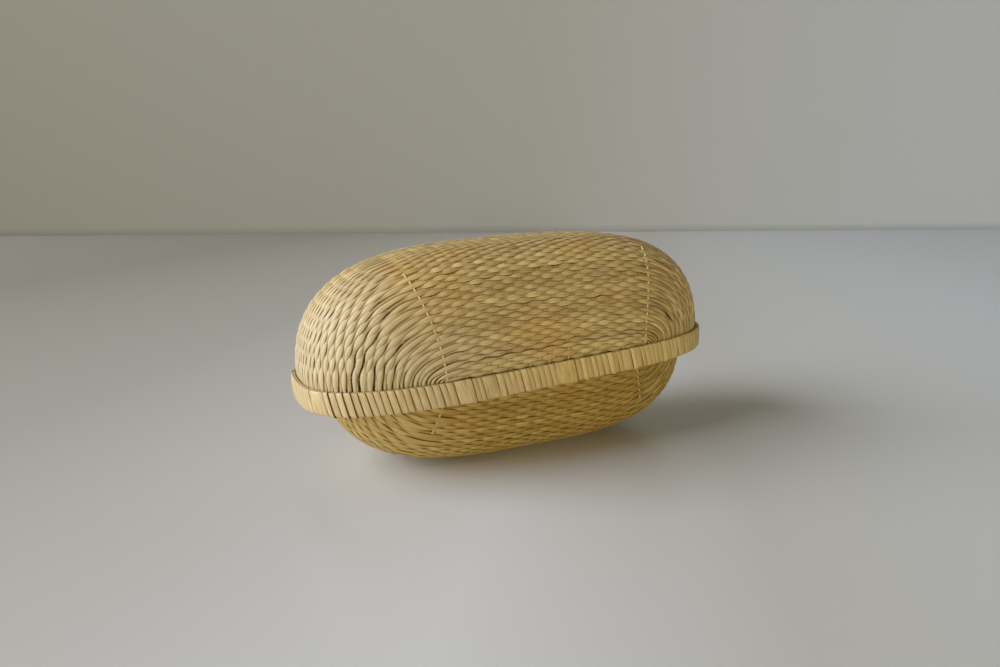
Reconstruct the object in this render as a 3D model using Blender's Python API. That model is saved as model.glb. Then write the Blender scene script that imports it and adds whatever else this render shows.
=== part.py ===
"""A two-part lunch box woven from peeled rods and thread.

A deep lid slides down over a smaller base of the same weave. The edge of each shell is held between two bent
wooden hoops, and flat splints are wound round the hoops and the edge, one after another, all the way along.
The lid sits a little askew on the base, with one end higher, as a lid does when a hand has pushed it down.
The crossings of single rods and threads are too fine for these solids: each wall is one shell of their true
outer shape and thickness, with one rib for every four or five rods, which runs as they do: along the box, and
at its ends down to the rim. The seam of stitches at each rounded corner is a thread laid on the wall.
"""

from math import cos, pi, radians, sin

import bmesh
import bpy
from mathutils import Vector

# Driving sizes of the box, in metres
LID_LENGTH = 0.2002
LID_WIDTH = 0.0810
LID_DOME = 0.0511
BAND_HEIGHT = 0.0102
BASE_DEPTH = 0.0663
BULGE_HEIGHT = 0.0400
BASE_TAPER = 0.0015
STRAIGHT_RUN = 0.0143
WALL = 0.0022

# Ribs of the walls: how deep the furrows between them are, and how far above the rim band they start
RIB_DEPTH = 0.0008
RIB_START = 0.0005

# Rim pieces
LID_OUTER_HOOP = 0.0010
LID_INNER_HOOP = 0.0006
BASE_HOOP = 0.0006
BASE_BAND_HEIGHT = 0.0078
SPLINT = 0.0004
SPLINT_LAP = 0.0002
HOOP_END_GAP = 0.0006
THREAD = 0.0008

# Clearances: between pieces that touch, between the lid's mouth and the base's rim, and for facets and flats
TOUCH_GAP = 0.0003
SIDE_CLEARANCE = 0.0006
END_CLEARANCE = 0.0046
SEAT_GAP = 0.0003
FACET_ALLOWANCE = 0.00035
FLAT_TOLERANCE = 0.00001

# Form of the curves, and the lean of the lid on the base
PLAN_POWER = 2.92
LID_RISE_POWER = 2.29
LID_SWELL_POWER = 3.58
BASE_RISE_POWER = 2.10
BASE_SWELL_POWER = 3.75
LAST_ROW_ANGLE = radians(80)
LID_LEAN = radians(-2.97)

# Counts
STATIONS = 72
SKIRT_ROWS = 3
LID_DOME_ROWS = 8
BASE_DOME_ROWS = 5
RIBS_PER_SIDE = 9
RIB_STEPS = 7
SECTION_STEPS = 240
STRIPS = 8
LID_WRAPS_PER_STRIP = 18
BASE_WRAPS_PER_STRIP = 9
SEAT_STEPS = 40
SEAM_STEPS = 8

# Lines along each rib: the furrow beside it, and the two edges of its crest
RIB_LINES = 3

# Shares: of the way round the rim, of one wrap, and of a shell's half length and dome for the seams
BACK_SHARE = 0.25
WRAP_STEP_SHARE = 0.12
WRAP_LEAN_SHARE = 0.9
SEAM_RIM_SHARE = 0.495
SEAM_TOP_SHARE = 0.585
SEAM_RISE_SHARE = 0.70

# Shares for the ribs: how close their feet stand near the corner seam, and where they come to stand wider
FOOT_PITCH_SHARE = 0.55
WIDENING_START_SHARE = 0.25
WIDENING_END_SHARE = 0.65

# The side of the box that each corner lies on, along and across
CORNERS = {"front_left": (-1, -1), "front_right": (1, -1), "back_left": (-1, 1), "back_right": (1, 1)}

LID_MATERIALS = {
    "wall": ("lid weave", (0.62, 0.49, 0.29), 0.55),
    "hoop": ("lid hoop wood", (0.66, 0.52, 0.32), 0.50),
    "binding": ("lid rim splint", (0.72, 0.60, 0.40), 0.45),
    "thread": ("lid seam thread", (0.76, 0.66, 0.47), 0.70),
}
BASE_MATERIALS = {
    "wall": ("base weave", (0.55, 0.42, 0.24), 0.55),
    "hoop": ("base hoop wood", (0.62, 0.49, 0.30), 0.50),
    "binding": ("base rim splint", (0.68, 0.56, 0.37), 0.45),
    "thread": ("base seam thread", (0.72, 0.62, 0.44), 0.70),
}


def signed_power(value, power):
    """The power of a value's size, with its sign kept."""
    return abs(value) ** power * (1 if value >= 0 else -1)


def plan_point(half_length, half_width, mark):
    """A point of the rounded plan: a superellipse whose two ends are pulled apart by a straight run.

    A mark is the angle round the superellipse, and the place along the straight run from -1 to 1.
    """
    angle, run_share = mark
    end = signed_power(cos(angle), 2 / PLAN_POWER) * (half_length - STRAIGHT_RUN)
    side = signed_power(sin(angle), 2 / PLAN_POWER) * half_width
    return Vector((end + STRAIGHT_RUN * run_share, side))


def fine_marks(steps):
    """Closely spaced marks from the right end to the left one, along the back."""
    quarter = [(pi / 2 * step / steps, 1) for step in range(steps + 1)]
    straight = [(pi / 2, 1 - 2 * step / steps) for step in range(1, steps)]
    return quarter + straight + [(pi - angle, -1) for angle, _ in reversed(quarter)]


def even_marks(half_length, half_width, count):
    """Marks that cut the outline into equal lengths, counted from the right end round the back."""
    marks = fine_marks(count * count)
    points = [plan_point(half_length, half_width, mark) for mark in marks]
    walked = [0.0]
    for before, after in zip(points, points[1:]):
        walked.append(walked[-1] + (after - before).length)
    back, step = [marks[0]], 0
    for station in range(1, count // 2):
        target = walked[-1] * station / (count // 2)
        while walked[step + 1] < target:
            step += 1
        back.append(marks[step])
    front = [(-angle, run_share) for angle, run_share in reversed(back[1:])]
    return back + [marks[-1]] + front


def spaced(points, shares):
    """Points at the given rising shares of the way along a line of closely spaced ones."""
    walked = [0.0]
    for before, after in zip(points, points[1:]):
        walked.append(walked[-1] + (after - before).length)
    picked, step = [], 0
    for share in shares:
        target = walked[-1] * share
        while step < len(points) - 2 and walked[step + 1] < target:
            step += 1
        part = (target - walked[step]) / (walked[step + 1] - walked[step])
        picked.append(points[step].lerp(points[step + 1], part))
    return picked


def foot_share(share):
    """How far from the corner seam to the end's middle a rod's foot stands, closer together near the seam."""
    width = WIDENING_END_SHARE - WIDENING_START_SHARE
    part = min(max((share - WIDENING_START_SHARE) / width, 0), 1)
    widened = width * (part**3 - part**4 / 2) + max(share - WIDENING_END_SHARE, 0)
    most = width / 2 + 1 - WIDENING_END_SHARE
    return FOOT_PITCH_SHARE * share + (1 - FOOT_PITCH_SHARE) * widened / most


class Shell:
    """One woven shell, measured from its mouth: a skirt round the mouth, then a dome that closes it."""

    def __init__(self, half_length, half_width, skirt, dome, depth, powers, taper, edge, band, dome_rows, turn):
        self.half_length = half_length
        self.half_width = half_width
        self.skirt = skirt
        self.dome = dome
        self.depth = depth
        self.rise_power, self.swell_power = powers
        self.taper = taper
        self.edge = edge
        self.band = band
        self.dome_rows = dome_rows
        self.turn = turn
        self.marks = even_marks(half_length, half_width, STATIONS)

    def ring(self, share, draw_in, height):
        """The outline at one height: the plan drawn in at the mouth, and shrunk to a share in the dome."""
        half_length, half_width = self.half_length - draw_in, self.half_width - draw_in
        outline = [plan_point(half_length, half_width, mark) for mark in self.marks]
        return [Vector((point.x * share, point.y * share, height)) for point in outline]

    def draw_in(self, height):
        """How far the outline is drawn in: by all of the taper along the rim band, then less and less."""
        if not self.taper:
            return 0
        rise = (height - self.band) / (self.skirt - self.band)
        return self.taper * (1 + cos(pi * min(max(rise, 0), 1))) / 2

    def skirt_ring(self, height):
        """A ring of the skirt, the part round the mouth."""
        return self.ring(1, self.draw_in(height), height)

    def dome_share(self, height):
        """The share that the plan is shrunk to at a height above the mouth."""
        rise = min(max(height - self.skirt, 0) / self.dome, 1)
        return (1 - rise**self.rise_power) ** (1 / self.swell_power)

    def side_point(self, run, height, side):
        """The point of a long side's surface at a run from the middle and a height above the mouth."""
        share = self.dome_share(height)
        end = max(abs(run) / share - STRAIGHT_RUN, 0) / (self.half_length - STRAIGHT_RUN)
        across = (1 - end**PLAN_POWER) ** (1 / PLAN_POWER) * self.half_width * share
        return Vector((run, side * (across - self.draw_in(height)), height))

    def reach(self, across, height):
        """How far along the box the surface lies at a place across it and a height above the mouth."""
        share, draw_in = self.dome_share(height), self.draw_in(height)
        if not share:
            return 0
        inside = max(1 - (across / ((self.half_width - draw_in) * share)) ** PLAN_POWER, 0)
        end = (self.half_length - draw_in - STRAIGHT_RUN) * inside ** (1 / PLAN_POWER)
        return (STRAIGHT_RUN + end) * share

    def half_section(self, start):
        """Closely spaced points of the wall's section across the middle, from a start height to the crown."""
        points = []
        for step in range(SECTION_STEPS):
            height = start + (self.skirt - start) * step / SECTION_STEPS
            if height < self.skirt:
                points.append(Vector((0, self.half_width - self.draw_in(height), height)))
        for step in range(SECTION_STEPS + 1):
            angle = pi / 2 * step / SECTION_STEPS
            height = self.skirt + self.dome * sin(angle) ** (2 / self.rise_power)
            if height >= start:
                across = self.half_width * max(cos(angle), 0) ** (2 / self.swell_power)
                points.append(Vector((0, across, min(height, self.depth))))
        return points

    def rim_feet(self, start):
        """Closely spaced points of the outline at a height, from the corner seam to the end's middle."""
        marks = [(pi / 2 * (1 - step / SECTION_STEPS), 1) for step in range(SECTION_STEPS + 1)]
        draw_in, share = self.draw_in(start), self.dome_share(start)
        points = []
        for mark in marks:
            point = plan_point(self.half_length - draw_in, self.half_width - draw_in, mark) * share
            if point.x >= SEAM_RIM_SHARE * self.half_length:
                points.append(Vector((point.x, point.y, start)))
        return points

    def rib_line(self, foot, middle):
        """Points of one line along the weave, from its foot at the right end to the left end's foot."""
        half = [foot]
        for step in range(1, RIB_STEPS):
            rise = sin(pi / 2 * step / RIB_STEPS)
            height = foot.z + (middle.z - foot.z) * rise
            across = foot.y + (middle.y - foot.y) * rise * rise
            half.append(Vector((self.reach(across, height), across, height)))
        level = max(self.reach(middle.y, middle.z), STRAIGHT_RUN)
        half.append(Vector((level, middle.y, middle.z)))
        return half + [Vector((-point.x, point.y, point.z)) for point in reversed(half)]

    def rib_lines(self):
        """The lines of ribs and furrows over the whole wall, from the front of the rim band to the back."""
        start = self.band + RIB_START
        count = RIBS_PER_SIDE * RIB_LINES
        shares = [line / count for line in range(count + 1)]
        middles = spaced(self.half_section(start), shares)
        feet = spaced(self.rim_feet(start), [foot_share(share) for share in shares])
        back = [self.rib_line(foot, middle) for foot, middle in zip(feet, middles)]
        front = [[Vector((point.x, -point.y, point.z)) for point in line] for line in back]
        return front + back[-2::-1]

    def in_flat(self, point):
        """Whether a point lies in the flat foot, where the dome is cut off."""
        return self.depth < self.skirt + self.dome and point.z > self.depth - FLAT_TOLERANCE

    def dome_ring(self, angle):
        """A ring of the dome, from the skirt at angle zero to the crown at a right angle."""
        share = max(cos(angle), 0) ** (2 / self.swell_power)
        return self.ring(share, 0, self.skirt + self.dome * sin(angle) ** (2 / self.rise_power))

    def rows(self):
        """Rings from the wall's edge at the mouth to the last one below the crown."""
        step = (self.skirt - self.edge) / SKIRT_ROWS
        skirt = [self.skirt_ring(self.edge + step * row) for row in range(SKIRT_ROWS)]
        step = LAST_ROW_ANGLE / self.dome_rows
        return skirt + [self.dome_ring(step * row) for row in range(self.dome_rows + 1)]

    def rim_point(self, place, outward, height):
        """A point off the wall near the mouth: how far along in stations, outward, and up from the mouth."""
        station = int(place // 1)
        share = place - station
        ring = self.skirt_ring(min(max(height, self.edge), self.skirt))
        before = offset_plan(ring, station % STATIONS, outward)
        after = offset_plan(ring, (station + 1) % STATIONS, outward)
        point = before.lerp(after, share)
        return Vector((point.x, point.y, height))


def offset_plan(ring, station, outward):
    """A ring's point moved square to the outline, within its own plane."""
    along = ring[(station + 1) % STATIONS] - ring[station - 1]
    out = Vector((along.y, -along.x, 0)).normalized()
    return ring[station] + out * outward


def surface_normals(rows):
    """The outward direction of the surface at every point of its rows."""
    normals = []
    for row, ring in enumerate(rows):
        low, high = rows[max(row - 1, 0)], rows[min(row + 1, len(rows) - 1)]
        line = []
        for station in range(STATIONS):
            along = ring[(station + 1) % STATIONS] - ring[station - 1]
            line.append(along.cross(high[station] - low[station]).normalized())
        normals.append(line)
    return normals


def moved_rows(rows, outward):
    """The same rows moved square to the surface."""
    return [
        [point + out * outward for point, out in zip(ring, line)]
        for ring, line in zip(rows, surface_normals(rows))
    ]


def skin(mesh, rings, closed_rows):
    """Faces between rings of equal count, each ring closed, and the last ring joined to the first if asked."""
    made = [[mesh.verts.new(point) for point in ring] for ring in rings]
    pairs = list(zip(made, made[1:]))
    if closed_rows:
        pairs.append((made[-1], made[0]))
    for low, high in pairs:
        for corner in range(len(low)):
            after = (corner + 1) % len(low)
            mesh.faces.new((low[corner], low[after], high[after], high[corner]))
    return made


def furrowed(shell):
    """The lines of a wall with its furrows sunk between the ribs, except in the flat foot."""
    lines = shell.rib_lines()
    sunk = []
    for number, line in enumerate(lines):
        before, after = lines[max(number - 1, 0)], lines[min(number + 1, len(lines) - 1)]
        furrow = RIB_DEPTH if number % RIB_LINES == 0 else 0
        moved = []
        for step, point in enumerate(line):
            along = line[min(step + 1, len(line) - 1)] - line[max(step - 1, 0)]
            out = (after[step] - before[step]).cross(along).normalized()
            moved.append(point if shell.in_flat(point) else point - out * furrow)
        sunk.append(moved)
    return sunk


def border(grid):
    """The closed border of a grid of lines, from the right end's middle round the back."""
    middle = len(grid) // 2
    right, left = [line[0] for line in grid], [line[-1] for line in grid]
    return right[middle:] + grid[-1][1:] + left[-2::-1] + grid[0][-2:0:-1] + right[:middle]


def way_shares(ring):
    """How far round a closed ring each of its corners lies, with the first one again at the end."""
    walked = [0.0]
    for corner in range(len(ring)):
        walked.append(walked[-1] + (ring[(corner + 1) % len(ring)].co - ring[corner].co).length)
    return [distance / walked[-1] for distance in walked]


def belt(mesh, low, high):
    """Triangles between two closed rings of unlike counts that start side by side."""
    low_shares, high_shares = way_shares(low), way_shares(high)
    at_low = at_high = 0
    while at_low < len(low) or at_high < len(high):
        low_corner, high_corner = low[at_low % len(low)], high[at_high % len(high)]
        low_next = at_low < len(low) and (
            at_high == len(high) or low_shares[at_low + 1] <= high_shares[at_high + 1]
        )
        if low_next:
            at_low += 1
            mesh.faces.new((low_corner, low[at_low % len(low)], high_corner))
        else:
            at_high += 1
            mesh.faces.new((low_corner, high[at_high % len(high)], high_corner))


def fan(mesh, ring, centre):
    """A cap of triangles from a ring to one point."""
    middle = mesh.verts.new(centre)
    for corner in range(len(ring)):
        mesh.faces.new((ring[corner], ring[(corner + 1) % len(ring)], middle))


def material(name, colour, roughness):
    """A plain finish of one colour."""
    made = bpy.data.materials.new(name)
    made.use_nodes = True
    shader = made.node_tree.nodes["Principled BSDF"]
    shader.inputs["Base Color"].default_value = (*colour, 1)
    shader.inputs["Roughness"].default_value = roughness
    made.diffuse_color = (*colour, 1)
    return made


def place(made, parent, finish):
    """Puts an object into the scene, under its shell's empty, with its finish."""
    bpy.context.scene.collection.objects.link(made)
    made.parent = parent
    made.data.materials.append(finish)
    return made


def solid(name, mesh, parent, finish):
    """A finished mesh as an object, its faces all turned outward and shaded smooth."""
    bmesh.ops.recalc_face_normals(mesh, faces=mesh.faces)
    data = bpy.data.meshes.new(name)
    mesh.to_mesh(data)
    mesh.free()
    for face in data.polygons:
        face.use_smooth = True
    return place(bpy.data.objects.new(name, data), parent, finish)


def woven_wall(name, shell, parent, finish):
    """The woven shell: its plain inside, the edge at the mouth, the stretch in the rim, and the ribbed outside."""
    inner = moved_rows(shell.rows(), -WALL)
    mesh = bmesh.new()
    rim = [shell.skirt_ring(shell.edge), shell.skirt_ring(shell.band)]
    made = skin(mesh, list(reversed(inner)) + rim, False)
    inner_height = sum(point.z for point in inner[-1]) / STATIONS
    fan(mesh, made[0], Vector((0, 0, inner_height)))
    grid = [[mesh.verts.new(point) for point in line] for line in furrowed(shell)]
    for before, after in zip(grid, grid[1:]):
        for step in range(len(before) - 1):
            mesh.faces.new((before[step], before[step + 1], after[step + 1], after[step]))
    belt(mesh, made[-1], border(grid))
    foot = [face for face in mesh.faces if all(shell.in_flat(corner.co) for corner in face.verts)]
    bmesh.ops.dissolve_faces(mesh, faces=foot)
    return solid(name, mesh, parent, finish)


def hoop(name, shell, parent, finish, outward, thickness, top):
    """A strip bent round the wall's edge, its two ends meeting at the back."""
    back = BACK_SHARE * STATIONS * shell.turn % STATIONS
    length = (shell.rim_point(1, 0, top) - shell.rim_point(0, 0, top)).length
    end = HOOP_END_GAP / length / 2
    places = [back + end] + [back + step for step in range(1, STATIONS)] + [back + STATIONS - end]
    section = ((outward, shell.edge), (outward + thickness, shell.edge), (outward + thickness, top), (outward, top))
    mesh = bmesh.new()
    made = skin(mesh, [[shell.rim_point(at, *corner) for corner in section] for at in places], False)
    mesh.faces.new(made[0])
    mesh.faces.new(made[-1])
    return solid(name, mesh, parent, finish)


def binding_section(outer_face, inner_face, top, lap):
    """Corners of the wound splint round the rim, and how far along the rim each lies, in wraps."""
    outer, inner = outer_face + lap, inner_face - lap
    return (
        (outer, top, 0),
        (outer, 0, WRAP_LEAN_SHARE),
        (inner, 0, WRAP_LEAN_SHARE),
        (inner, top, 2 * WRAP_LEAN_SHARE),
        (inner_face + SPLINT, top, 2 * WRAP_LEAN_SHARE),
        (inner_face + SPLINT, SPLINT, WRAP_LEAN_SHARE),
        (outer_face - SPLINT, SPLINT, WRAP_LEAN_SHARE),
        (outer_face - SPLINT, top, 0),
    )


def binding(name, shell, parent, finish, strip, wraps, faces, top):
    """One splint wound round the rim: each wrap laps the one before it, and the whole strip has two ends."""
    wrap = STATIONS / STRIPS / wraps
    length = (shell.rim_point(1, 0, top) - shell.rim_point(0, 0, top)).length
    end = TOUCH_GAP / length / 2
    start = strip * STATIONS / STRIPS
    mesh = bmesh.new()
    rings = []
    for turn in range(wraps):
        low = start + turn * wrap + (end if turn == 0 else 0)
        high = start + (turn + 1) * wrap - (end if turn == wraps - 1 else wrap * WRAP_STEP_SHARE)
        for at, lap in ((low, 0), (high, SPLINT_LAP)):
            section = binding_section(*faces, top, lap)
            rings.append([shell.rim_point(at + along * wrap, out, up) for out, up, along in section])
    made = skin(mesh, rings, False)
    mesh.faces.new(made[0])
    mesh.faces.new(made[-1])
    return solid(name, mesh, parent, finish)


def seam_path(shell, band, run_side, side):
    """Points of a corner seam, from above the rim band up the wall, lifted clear of it."""
    lift = TOUCH_GAP + THREAD / 2
    low, high = band + lift, shell.skirt + SEAM_RISE_SHARE * shell.dome
    path = []
    for step in range(SEAM_STEPS + 1):
        share = step / SEAM_STEPS
        run = run_side * shell.half_length * (SEAM_RIM_SHARE + (SEAM_TOP_SHARE - SEAM_RIM_SHARE) * share * share)
        height = low + (high - low) * share
        point = shell.side_point(run, height, side)
        along = shell.side_point(run + THREAD, height, side) - point
        up = shell.side_point(run, height + THREAD, side) - point
        path.append(point - side * along.cross(up).normalized() * lift)
    return path


def corner_thread(name, parent, finish, path):
    """The thread of a corner seam, as a cord of its own thickness along its path."""
    curve = bpy.data.curves.new(name, "CURVE")
    curve.dimensions = "3D"
    curve.bevel_depth = THREAD / 2
    curve.bevel_resolution = 0
    curve.use_fill_caps = True
    spline = curve.splines.new("POLY")
    spline.points.add(len(path) - 1)
    for target, point in zip(spline.points, path):
        target.co = (*point, 1)
    return place(bpy.data.objects.new(name, curve), parent, finish)


def rim_faces(outer_hoop, inner_hoop):
    """Outward places of the wound splint's faces, outside the outer hoop and inside the inner one."""
    layers = TOUCH_GAP + TOUCH_GAP + SPLINT
    return outer_hoop + layers, -WALL - inner_hoop - layers


def fill_shell(prefix, shell, parent, colours, hoops, band, wraps):
    """Every piece of one shell: wall, two hoops, the wound splints and the corner threads."""
    finishes = {slot: material(*colour) for slot, colour in colours.items()}
    outer_hoop, inner_hoop = hoops
    woven_wall(f"{prefix}_wall", shell, parent, finishes["wall"])
    hoop(f"{prefix}_outer_hoop", shell, parent, finishes["hoop"], TOUCH_GAP, outer_hoop, band)
    inside = -WALL - TOUCH_GAP - inner_hoop
    hoop(f"{prefix}_inner_hoop", shell, parent, finishes["hoop"], inside, inner_hoop, band)
    faces = rim_faces(*hoops)
    for strip in range(STRIPS):
        name = f"{prefix}_rim_splint_{strip + 1}"
        binding(name, shell, parent, finishes["binding"], strip, wraps, faces, band)
    for corner, (run_side, side) in CORNERS.items():
        path = seam_path(shell, band, run_side, side * shell.turn)
        corner_thread(f"{prefix}_seam_thread_{corner}", parent, finishes["thread"], path)


def inside_dome(shell, point, clear):
    """Whether a point in the shell's frame lies inside its wall by the given clearance."""
    half_length = shell.half_length - WALL - clear
    half_width = shell.half_width - WALL - clear
    height = max(point.z - shell.skirt, 0) / (shell.dome - WALL - clear)
    if height >= 1:
        return False
    share = (1 - height**shell.rise_power) ** (1 / shell.swell_power)
    along = max(abs(point.x) / share - STRAIGHT_RUN, 0) / (half_length - STRAIGHT_RUN)
    across = abs(point.y) / share / half_width
    return along**PLAN_POWER + across**PLAN_POWER <= 1


def seat_height(lid, base_rim):
    """How high the leaning lid's mouth stands when its dome comes down on the base's rim."""
    low, high = 0.0, BASE_DEPTH
    for _ in range(SEAT_STEPS):
        middle = (low + high) / 2
        inside = True
        for point in base_rim:
            drop = point.z - middle
            turned = Vector((
                point.x * cos(LID_LEAN) - drop * sin(LID_LEAN),
                point.y,
                point.x * sin(LID_LEAN) + drop * cos(LID_LEAN),
            ))
            inside = inside and inside_dome(lid, turned, SEAT_GAP + FACET_ALLOWANCE)
        if inside:
            high = middle
        else:
            low = middle
    return high


def empty(name, height, lean, flip):
    """The frame that one shell's pieces stand in."""
    made = bpy.data.objects.new(name, None)
    bpy.context.scene.collection.objects.link(made)
    made.location = (0, 0, height)
    made.rotation_euler = (flip, lean, 0)
    return made


def main():
    for leftover in list(bpy.data.objects):
        bpy.data.objects.remove(leftover)

    lid_hoops = (LID_OUTER_HOOP, LID_INNER_HOOP)
    base_hoops = (BASE_HOOP, BASE_HOOP)
    edge = SPLINT + TOUCH_GAP
    powers = (LID_RISE_POWER, LID_SWELL_POWER)
    lid = Shell(
        half_length=LID_LENGTH / 2, half_width=LID_WIDTH / 2, skirt=BAND_HEIGHT, dome=LID_DOME,
        depth=BAND_HEIGHT + LID_DOME, powers=powers, taper=0, edge=edge, band=BAND_HEIGHT,
        dome_rows=LID_DOME_ROWS, turn=1,
    )

    mouth = -rim_faces(*lid_hoops)[1] + SPLINT_LAP
    base_out = rim_faces(*base_hoops)[0] + SPLINT_LAP
    half_length = LID_LENGTH / 2 - mouth - END_CLEARANCE - base_out + BASE_TAPER
    half_width = LID_WIDTH / 2 - mouth - SIDE_CLEARANCE - base_out + BASE_TAPER
    powers = (BASE_RISE_POWER, BASE_SWELL_POWER)
    flat_share = sin(LAST_ROW_ANGLE) ** (2 / BASE_RISE_POWER)
    base = Shell(
        half_length=half_length, half_width=half_width, skirt=BASE_DEPTH - BULGE_HEIGHT,
        dome=BULGE_HEIGHT / flat_share, depth=BASE_DEPTH, powers=powers, taper=BASE_TAPER, edge=edge,
        band=BASE_BAND_HEIGHT, dome_rows=BASE_DOME_ROWS, turn=-1,
    )

    rim = []
    for station in range(STATIONS):
        point = base.rim_point(station, base_out, 0)
        rim.append(Vector((point.x, point.y, BASE_DEPTH)))
    seat = seat_height(lid, rim)

    base_frame = empty("base_frame", BASE_DEPTH, 0, pi)
    lid_frame = empty("lid_seat", seat, LID_LEAN, 0)
    fill_shell("base", base, base_frame, BASE_MATERIALS, base_hoops, BASE_BAND_HEIGHT, BASE_WRAPS_PER_STRIP)
    fill_shell("lid", lid, lid_frame, LID_MATERIALS, lid_hoops, BAND_HEIGHT, LID_WRAPS_PER_STRIP)
    print("seat of the lid above the table, m:", round(seat, 5))
    print("base bulge half length and half width, m:", round(half_length, 5), round(half_width, 5))


main()
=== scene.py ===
"""How the woven lunch box looks: every rod, thread and splint of its lid and base, on a pale table.

The solids of the frame give the shape, the rims and the hoops. Here each woven wall is made of its own rods,
which run along the box and down its two ends, and of the threads that pass over and under them. The rim of
each shell is wound with single turns of flat splint.
"""

from math import cos, pi, radians, sin

import bpy
import numpy as np
from mathutils import Matrix, Vector


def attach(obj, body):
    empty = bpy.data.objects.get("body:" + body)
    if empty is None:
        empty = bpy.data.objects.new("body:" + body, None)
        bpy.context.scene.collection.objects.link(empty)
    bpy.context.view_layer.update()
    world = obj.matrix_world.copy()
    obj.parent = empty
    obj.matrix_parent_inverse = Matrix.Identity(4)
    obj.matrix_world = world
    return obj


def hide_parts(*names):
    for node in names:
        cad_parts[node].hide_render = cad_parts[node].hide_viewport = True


# The shells, in metres, as the solids have them
LID_HALF_LENGTH = 0.1001
LID_HALF_WIDTH = 0.0405
LID_DOME = 0.0511
LID_BAND = 0.0102
BASE_HALF_LENGTH = 0.0912
BASE_HALF_WIDTH = 0.0356
BASE_DEPTH = 0.0663
BASE_SKIRT = 0.0263
BASE_BULGE = 0.0400
BASE_TAPER = 0.0015
BASE_BAND = 0.0078
STRAIGHT_RUN = 0.0143
PLAN_POWER = 2.92
LID_POWERS = (2.29, 3.58)
BASE_POWERS = (2.10, 3.75)
FOOT_ANGLE = radians(80)
BASE_DOME = BASE_BULGE / sin(FOOT_ANGLE) ** (2 / BASE_POWERS[0])
LID_LEAN = radians(-2.97)
LID_SEAT = 0.03626
LID_RIM_FACES = (0.0020, -0.0038)
BASE_RIM_FACES = (0.0016, -0.0038)

# The weave: the rods
ROD_PITCH = 0.00184
ROD_STEP = 0.0011
ROD_DEPTH = 0.00082
ROD_SWING = 0.00025
ROD_HALF_HEIGHT = 0.00056
ROD_LEAST_HALF_WIDTH = 0.00042
ROD_MOST_HALF_WIDTH = 0.00168
ROD_WIDTH_SHARES = (0.80, 1.55)
ROD_SIZE_SPREAD = 0.05
ROD_WANDER = 0.00010
ROD_WANDER_STEP = 0.012
ROD_SIDES = 8

# Their feet, which stand along the rim from the corner seam to the end's middle
FOOT_WANDER = 0.00020
FOOT_WANDER_GROWTH = 4
FOOT_TAPER_LENGTH = 0.0034
FOOT_TAPER_SHARE = 0.16
FOOT_SWINGS = (-0.50, 0.15)
FOOT_WIDTH_SHARES = (1.00, 1.20)
FOOT_TOP_DROP = 0.0008
FOOT_LOW = 0.0012
FOOT_POINTS = 4

# Where they float free of threads, past a corner seam
FLOAT_LENGTH = 0.0132
FLOAT_SWINGS = (-0.95, 0.75)
FLOAT_WIDTH_SHARES = (1.00, 1.32)
FLOAT_STEP_SHARE = 1.6

# The threads that cross them, and the seams of the rounded corners
THREAD_HALF_WIDTH = 0.00014
THREAD_SUNK = 0.00016
TIE_RISE = 0.00016
CROSSING_WANDER = 0.00030
THREAD_STEP = 0.0048
END_THREAD_STEP = 0.00525
THREAD_TUCK = 0.0012
THREAD_SIDES = 5
THREAD_SAMPLES = 3
MOST_THREADS = 40
LEAST_CROSSED = 3
TIED_RODS = 3
TIE_SHARE = 1.7
TIE_CHANCE_SHARE = 0.55
SEAM_THREAD_HALF_WIDTH = 0.00042
SEAM_THREAD_SUNK = 0.00010
SEAM_FOOT = 0.0495
SEAM_LEAN = 0.0094
SEAM_RISE = 0.0420
SEAM_POWER = 1.6
SEAM_CLEAR_SHARE = 0.3

# The wound rims
WRAP_WIDTH = 0.00285
WRAP_SPREAD_SHARES = (0.86, 1.12)
WRAP_LEAN = 0.0024
WRAP_LEAN_SHARES = (0.88, 1.12)
WRAP_THICKNESS = 0.00036
WRAP_LAP = 0.00028
WRAP_DIP = 0.0012
WRAP_LAP_SHARES = (0.3, 0.9)
FAR_LAP_SHARE = 2.4
WRAP_OVERLAP_SHARE = 0.20
WIDE_STRIPS = (
    (-0.0970, -0.0935), (-0.0468, -0.0390), (-0.0347, -0.0283), (-0.0006, 0.0096), (0.0344, 0.0395),
)
LAPPED_PLACES = (-0.0476, -0.0290, -0.0171, -0.0020, 0.0127, 0.0260, 0.0395, 0.0580)
PLAIN_RIM_START = -0.0960
PLAIN_RIM_BEHIND = 0.024
EVEN_RIM_END = -0.0470
# How faint the lines of painted shade are where one turn of splint meets the next
FAINT_EDGE = 0.038
FAINT_SHARES = (0.5, 1.2)
PLAIN_FAINT_SHARE = 2.6
TOP_FACE_SHARE = 0.5
LEVEL_FACE_SHARE = 0.35
# From where, and over how far outward, the splints' top face gets painted shade near the wall
TOP_PAINTED_SHADE_START = 0.0004
TOP_PAINTED_SHADE_WIDTH = 0.0080
WRAP_POINTS = 26
WRAP_SQUARENESS = 7
WRAP_ACROSS_SHARES = (0, 0.10, 0.5, 0.90, 1, 1, 0)
WRAP_PROUD_SHARES = (0.35, 0.95, 1.0, 0.95, 0.35, 0, 0)

# How finely the lines are sampled
SKIRT_POINTS = 80
DOME_POINTS = 500
RIM_POINTS = 900
ARCH_POINTS = 400
PATH_POINTS = 120
STRAIGHT_POINTS = 12
RIM_STRAIGHT_POINTS = 40
LEAST_ROD_POINTS = 12

# The small steps and limits of the sums
CROWN_SHARE = 1 - 1e-6
SLOPE_STEP = 1e-5
LEAST_SLOPE = 1e-9
LEVEL_TOLERANCE = 1e-7
LEAST_APART = 1e-5

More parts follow.
